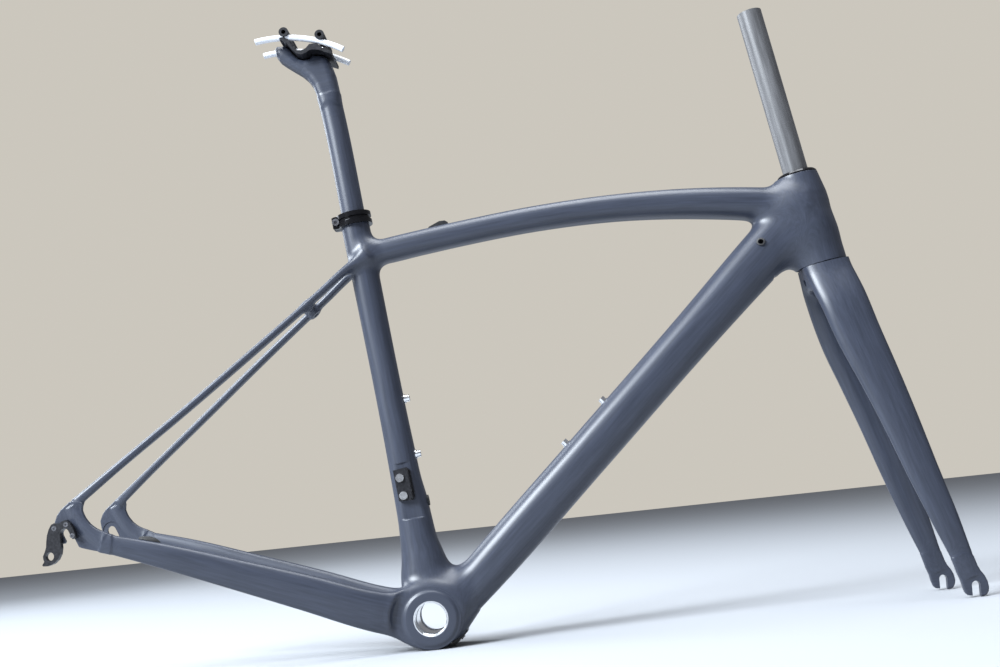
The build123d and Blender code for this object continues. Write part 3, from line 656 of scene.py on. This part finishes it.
chainstay_line = [
    (8, -19.5, -5, 18, 48), (-14, -22.5, 0.5, 18.5, 49), (-35, -26.5, 7, 18.5, 47),
    (-59, -32, 14, 18.5, 44), (-131, -42, 42, 16.5, 38.5), (-209, -52, 71.5, 14.5, 32),
    (-285, -61.5, 99.5, 12, 25.5), (-340, -66.5, 117.5, 8.5, 19),
]
seatstay_line = [
    (-38, -13, 411, 14, 12), (-60, -15.8, 397, 14, 9.6), (-94, -19.6, 370.5, 13.5, 8.4),
    (-175, -29.5, 309, 13, 8.4), (-253, -43, 249.5, 12, 8.4), (-330, -58.5, 192, 10, 8.8),
    (-368, -66.0, 163, 7, 10.5),
]
dropout_outline = [
    (-373.5, 164.0), (-382.5, 157.0), (-387.0, 151.5), (-390.0, 144.0), (-389.0, 136.0),
    (-386.8, 127.0), (-385.0, 122.0), (-381.0, 122.0), (-379.0, 126.0), (-375.0, 122.8),
    (-370.5, 119.2), (-362.0, 115.2), (-350.0, 111.4), (-334.0, 107.5), (-331.5, 123.8),
    (-346.5, 131.2), (-354.0, 137.5), (-359.0, 146.0), (-361.0, 154.0), (-360.5, 160.5),
]
dropout_arch = [
    (-372, -66.8, 159, 7.2, 10.5), (-366.5, -67.0, 149, 7.8, 12), (-360.5, -67.1, 139, 8.0, 13),
    (-352, -67.0, 129.5, 8.0, 14), (-340, -66.4, 120.5, 8.4, 17),
]
bridge_middle = (-108.0, 357.5)
bridge_reach = vec(bridge_middle[0] - rear_axle[0], bridge_middle[1] - rear_axle[1])
bridge_reach = bridge_reach / np.linalg.norm(bridge_reach)
mount_pocket = [(-22, 112.5), (13.5, 110.5), (14.5, 170.5), (-22, 169.0)]
hanger_pad = [
    (-396, 153.5), (-387.4, 152.9), (-383.0, 151.2), (-378.8, 148.4), (-374.8, 144.8), (-371.6, 140.9),
    (-368.6, 135.0), (-366.6, 129.6), (-365.4, 125.6), (-367.0, 122.0), (-370.9, 118.4), (-374, 108),
    (-396, 108),
]


def bridge_point(ahead):
    """A point along the rear brake bolt, which is square to the line from the rear axle."""
    return (bridge_middle[0] - bridge_reach[1] * ahead, 0, bridge_middle[1] + bridge_reach[0] * ahead)


head_heights = [head_bottom, 14, 30, 45, 60, 72, 82, 94, head_top]
head_radii = [27.3, 27.2, 26.8, 26.2, 26.2, 26.9, 26.6, 24.9, 23.2]

carbon_shapes = [
    Crosswise(0, 0, 31.4, 31.8, reach=8, edge=7),
    Tube(seat_tube_line, 2.2, reach=22),
    Tube(down_tube_line, 2.5, reach=28),
    Tube(chainstay_line, 2.5, reach=22, both_sides=True),
    Turned(steering, head_heights, head_radii, reach=30, edge=0.1),
    Tube(top_tube_line, 2.4, reach=16),
    Tube(seatstay_line, 2.4, reach=10, both_sides=True),
    Plate(dropout_outline, -67.1, 2.1, reach=5, edge=1.2),
    Tube(dropout_arch, 2.4, reach=3, both_sides=True),
    Crosswise(*bridge_middle, 4.8, 21, reach=7, edge=0.5),
    Rod(bridge_point(-9), bridge_point(11), 8.0, reach=6, edge=2),
]
carbon_cuts = [
    Crosswise(0, 0, 43, 20, reach=5, edge=6, out=51.6),
    Plate(mount_pocket, -25, 10.2, reach=1.5, edge=1.0, soften=1.5, axis=seat, both_sides=False),
]


def prism(outline, near, far, axis=None):
    """A closed slab from an outline in the side view, between two distances along Y."""
    place = (lambda a, u, y: vec(a, y, u)) if axis is None else axis.point
    count = len(outline)
    corners = [place(a, u, y) for y in (near, far) for a, u in outline]
    faces = [tuple(range(count)), tuple(range(2 * count - 1, count - 1, -1))]
    faces += [(i, i + count, (i + 1) % count + count, (i + 1) % count) for i in range(count)]
    mesh = mesh_from("slab", corners, faces)
    tidy = bmesh.new()
    tidy.from_mesh(mesh)
    bmesh.ops.recalc_face_normals(tidy, faces=tidy.faces)
    tidy.to_mesh(mesh)
    tidy.free()
    return mesh


def slot_outline(centre, angle, width, reach, sides=16):
    """A round-ended slot that opens along an angle from its centre."""
    along = vec(cos(angle), sin(angle))
    across = vec(-sin(angle), cos(angle))
    half = width / 2
    middle = vec(*centre)
    arc = [middle - along * half * sin(a) + across * half * cos(a)
           for a in np.linspace(0, np.pi, sides)]
    return [tuple(p) for p in [middle + along * reach + across * half, *arc,
                               middle + along * reach - across * half]]


def drill(origin, direction, rows):
    """A round cutter from (height, radius) rows along a direction."""
    return turned_mesh("drill", origin, direction, bore_outline(rows))


def rod_cutter(start, end, radius):
    start, end = vec(*start), vec(*end)
    return drill(start, end - start, [(0, radius), (float(np.linalg.norm(end - start)), radius)])


frame_body = Body(carbon_shapes, carbon_cuts)
points, quads = surface(frame_body, 1.7)
frame_mesh = mesh_from("carbon_frame", points, quads)
heal(frame_mesh)
refine(frame_mesh, frame_body)
carbon_frame = new_object("carbon_frame", frame_mesh, "frame")
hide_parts("head_tube", "top_tube", "down_tube", "seat_tube",
            "bottom_bracket_shell", "chainstay_right", "chainstay_left", "seatstay_right",
            "seatstay_left", "dropout_right", "dropout_left", "brake_bridge")

head_bore = [(-20, 23.5), (8.8, 23.5), (11.8, 21.0), (60, 21.0), (74, 19.0), (95.8, 19.0), (98.8, 20.9),
             (130, 20.9)]
hanger_face = -69.2
rear_slot = slot_outline(rear_axle, radians(-66.0), 10.0, 34.0)
port_centre = (408.3, 374.2)
carve(carbon_frame, [
    drill(steering.point(0, 0), steering.up, head_bore),
    prism([(-60, -40), (60, -40), (60, head_bottom), (-60, head_bottom)], -45, 45, steering),
    prism([(-45, head_top), (45, head_top), (45, 125), (-45, 125)], -40, 40, steering),
])
carve(carbon_frame, [
    rod_cutter((0, -45, 0), (0, 45, 0), sleeve_radius),
    prism([(-40, -60), (40, -60), (40, floor_height + 0.05), (-40, floor_height + 0.05)], -45, 45),
    drill(seat.point(0, 0), seat.up, [(230, post_radius + 0.05), (seat_top + 20, post_radius + 0.05)]),
    rod_cutter((port_centre[0], -34, port_centre[1]), (port_centre[0], -16, port_centre[1]), 4.6),
    rod_cutter(bridge_point(-20), bridge_point(20), 3.0),
    prism(rear_slot, 60, 80),
    prism(hanger_pad, hanger_face, -90),
])
carve(carbon_frame, [
    prism(rear_slot, -90, -60),
    rod_cutter((rear_axle[0], 60, rear_axle[1]), (rear_axle[0], 65.7, rear_axle[1]), 10.2),
    prism([(-30, seat_top), (30, seat_top), (30, seat_top + 20), (-30, seat_top + 20)], -30, 30, seat),
    prism([(-40, 440), (0, 440), (0, 490), (-40, 490)], -0.8, 0.8, seat),
])
shade(carbon_frame.data, frame_body)
add_grain(carbon_frame.data, frame_body)

boss_profile = [
    (sleeve_radius, 28.0), (sleeve_radius, 33.7), (sleeve_radius + 0.3, 34.0), (26.4, 34.0), (27.6, 33.85),
    (28.6, 33.4), (29.4, 32.8), (30.2, 32.2), (31.2, 31.85), (32.6, 31.6), (32.6, 28.0),
]
for side_name, way in (("right", -1), ("left", 1)):
    boss = new_object(f"bottom_bracket_boss_{side_name}", turned_mesh(
        "boss", (0, 0, 0), (0, way, 0), boss_profile, 128), "frame")
    smooth(boss.data, 30)
    boss.data.materials.append(carbon)
carbon_frame.data.materials.clear()
carbon_frame.data.materials.append(carbon)

sleeve_profile = [(sleeve_radius, -34.0), (17.9, -34.0)]
for turn in range(16):
    sleeve_profile += [(17.0, -33.2 + turn * 1.06), (17.55, -32.67 + turn * 1.06)]
sleeve_profile += [(17.0, -16.0), (17.0, 16.0)]
for turn in range(16):
    sleeve_profile += [(17.55, 16.77 + turn * 1.06), (17.0, 17.3 + turn * 1.06)]
sleeve_profile += [(17.9, 34.0), (sleeve_radius, 34.0)]
sleeve = new_object("threaded_sleeve", turned_mesh(
    "sleeve", (0, 0, 0), (0, 1, 0), sleeve_profile, 128), "frame")
smooth(sleeve.data, 25)
sleeve.data.materials.append(bright_alloy)
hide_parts("bottom_bracket_sleeve")

# ---------------------------------------------------------------- fork and seatpost
blade_line = [
    (478.9, -13.6, 348, 25, 52), (481.4, -17.6, 332.1, 24, 52), (483.7, -22.8, 320.2, 23, 52),
    (487.5, -29.0, 304, 22, 51.5), (498.2, -36.5, 257.5, 19.5, 49.3),
    (510.9, -41.5, 213.6, 17.5, 44.6), (524.4, -45.5, 165.5, 15.5, 39.6), (541.4, -49.5, 100.3, 13, 33.8),
    (556.3, -52, 47, 10.8, 28.4), (567.5, -53, 6, 8.4, 22), (572.5, -53.2, -12, 7, 19),
]
crown_line = [(*steering.point(0, 6), 53, 52.5), (*steering.point(0, 0), 53, 52.5),
              (*steering.point(0, -12), 56, 51.5), (*steering.point(0.6, -24), 57, 50),
              (*steering.point(1.2, -36), 50, 44)]
tip_outline = [
    (556.0, 8.0), (558.5, -7.0), (561.0, -14.5), (562.2, -22.5), (563.8, -28.2), (566.5, -30.8),
    (569.5, -31.2), (573.5, -32.4), (577.5, -32.9), (581.3, -32.9), (585.2, -31.8), (587.6, -28.4),
    (588.8, -24.0), (588.1, -17.5), (585.8, -11.5), (582.8, -7.0), (579.8, -1.0), (577.3, 8.0),
    (566.0, 12.0),
]
arch_line = [(*steering.point(-45, -46), 38, 38), (*steering.point(0, -46), 38, 38),
             (*steering.point(45, -46), 38, 38)]
fork_body = Body([
    Tube(crown_line, 2.0, reach=6),
    Tube(blade_line, 2.3, reach=6, both_sides=True),
    Plate(tip_outline, -53.25, 3.0, reach=3, edge=1.6, soften=0.2),
], [Tube(arch_line, 2.0, reach=6)])
points, quads = surface(fork_body, 1.6)
carbon_fork = new_object("carbon_fork", mesh_from("carbon_fork", points, quads), "fork")
heal(carbon_fork.data)
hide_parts("fork_crown", "fork_blade_right", "fork_blade_left", "fork_tip_right",
            "fork_tip_left")
carve(carbon_fork, [
    prism([(-60, 0), (60, 0), (60, 40), (-60, 40)], -45, 45, steering),
    drill(steering.point(0, 0), steering.up, [(-20, 16.5), (20, 16.5)]),
    rod_cutter(steering.point(-40, -15), steering.point(40, -15), 3.0),
    prism(slot_outline(front_axle, radians(-94.0), 9.0, 24.0), -62, -44),
])
carve(carbon_fork, [
    rod_cutter(steering.point(-40, -15), steering.point(-14, -15), 4.05),
    prism(slot_outline(front_axle, radians(-94.0), 9.0, 24.0), 44, 62),
])
shade(carbon_fork.data, fork_body)
add_grain(carbon_fork.data, fork_body)
carbon_fork.data.materials.clear()
carbon_fork.data.materials.append(carbon)

post_line = [(*seat.point(0, 330), 27.2, 27.2), (*seat.point(0, 450), 27.2, 27.2),
             (*seat.point(0, 590), 27.2, 27.2), (*seat.point(-0.8, 612), 27.6, 27.4)]
post_head = [
    (10.5, 598.0), (12.9, 612.0), (12.2, 636.0), (10.0, 649.0), (6.5, 657.2), (1.5, 660.6),
    (-5.0, 663.0), (-9.5, 663.2), (-14.0, 661.0), (-20.0, 660.0), (-25.5, 662.8), (-30.0, 669.4),
    (-34.0, 677.4), (-38.6, 682.0), (-48.5, 683.9), (-51.4, 681.0), (-51.7, 673.5), (-48.6, 667.0),
    (-43.6, 661.4), (-34.8, 652.8), (-26.8, 645.2), (-20.2, 636.4), (-15.6, 626.0), (-13.0, 612.0),
    (-10.5, 598.0),
]
post_body = Body([
    Tube(post_line, 2.0, reach=4),
    Plate(post_head, 0, 13.6, reach=3.5, edge=9.5, soften=0.2, axis=seat, both_sides=False),
])
points, quads = surface(post_body, 1.5)
post_mesh = mesh_from("carbon_seatpost", points, quads)
carbon_post = new_object("carbon_seatpost", post_mesh, "seatpost")
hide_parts("seatpost")
carve(carbon_post, [drill(seat.point(0, 0), seat.up, [(300, 11.4), (592, 11.4)]),
                    prism([(-30, 300), (30, 300), (30, 334), (-30, 334)], -30, 30, seat)])
shade(carbon_post.data, post_body)
add_grain(carbon_post.data, post_body)
carbon_post.data.materials.clear()
carbon_post.data.materials.append(carbon)

for node_name, material in finishes.items():
    for place in nodes[node_name].material_slots:
        place.material = material


# ---------------------------------------------------------------- camera and stage
def look():
    """The photograph's viewpoint, as a camera low on the drive side."""
    yaw, pitch, roll = radians(-1.46), radians(8.19), radians(6.03)
    place = Vector((140.5, -1362.3, 110.1)) * MM
    flat = Vector((sin(yaw), cos(yaw), 0))
    forward = flat * cos(pitch) + Vector((0, 0, sin(pitch)))
    level = Vector((cos(yaw), -sin(yaw), 0))
    above = Vector((0, 0, cos(pitch))) - flat * sin(pitch)
    right = level * cos(roll) - above * sin(roll)
    top = level * sin(roll) + above * cos(roll)
    data = bpy.data.cameras.new("camera")
    data.sensor_width = 36.0
    data.lens = 43.43
    data.clip_start, data.clip_end = 0.05, 50
    camera = bpy.data.objects.new("camera", data)
    bpy.context.scene.collection.objects.link(camera)
    turn = Matrix((right, top, -forward)).transposed()
    camera.matrix_world = Matrix.Translation(place) @ turn.to_4x4()
    bpy.context.scene.camera = camera


look()


def plain_material(name, colour, rough):
    material = bpy.data.materials.new(name)
    material.use_nodes = True
    shader = material.node_tree.nodes["Principled BSDF"]
    shader.inputs["Base Color"].default_value = (*colour, 1)
    shader.inputs["Roughness"].default_value = rough
    return material


floor = bpy.data.objects.new("floor", mesh_from(
    "floor", [(-6000, -4000, floor_height), (6000, -4000, floor_height), (6000, 9000, floor_height),
              (-6000, 9000, floor_height)], [(0, 1, 2, 3)]))
bpy.context.scene.collection.objects.link(floor)
floor.data.materials.append(plain_material("floor", (0.36, 0.375, 0.40), 0.75))


def soft_light(name, place, aim, size, power, colour=(1, 1, 1)):
    data = bpy.data.lights.new(name, "AREA")
    data.shape, data.size, data.energy, data.color = "SQUARE", size, power, colour
    light = bpy.data.objects.new(name, data)
    bpy.context.scene.collection.objects.link(light)
    light.location = place
    light.rotation_euler = (Vector(aim) - Vector(place)).to_track_quat("-Z", "Y").to_euler()


soft_light("key", (-3.2, -2.3, 2.9), (0.1, 0, 0.25), 2.2, 640, (0.86, 0.93, 1.0))
soft_light("top", (0.2, -0.2, 2.6), (0.1, 0, 0.2), 1.8, 90, (0.92, 0.96, 1.0))
soft_light("rim", (-2.0, 1.5, 1.6), (0.1, 0, 0.25), 1.6, 50, (0.86, 0.93, 1.0))


def studio_world():
    """A warm pale wall as seen, dimmer as a source of light."""
    world = bpy.data.worlds.new("studio")
    world.use_nodes = True
    tree = world.node_tree
    wall = tree.nodes["Background"]
    wall.inputs["Color"].default_value = (0.60, 0.57, 0.51, 1)
    glow = tree.nodes.new("ShaderNodeBackground")
    glow.inputs["Color"].default_value = (0.22, 0.225, 0.24, 1)
    choice = tree.nodes.new("ShaderNodeMixShader")
    path = tree.nodes.new("ShaderNodeLightPath")
    tree.links.new(path.outputs["Is Camera Ray"], choice.inputs["Fac"])
    tree.links.new(glow.outputs["Background"], choice.inputs[1])
    tree.links.new(wall.outputs["Background"], choice.inputs[2])
    tree.links.new(choice.outputs["Shader"], tree.nodes["World Output"].inputs["Surface"])
    bpy.context.scene.world = world


studio_world()
bpy.context.scene.view_settings.view_transform = "Standard"
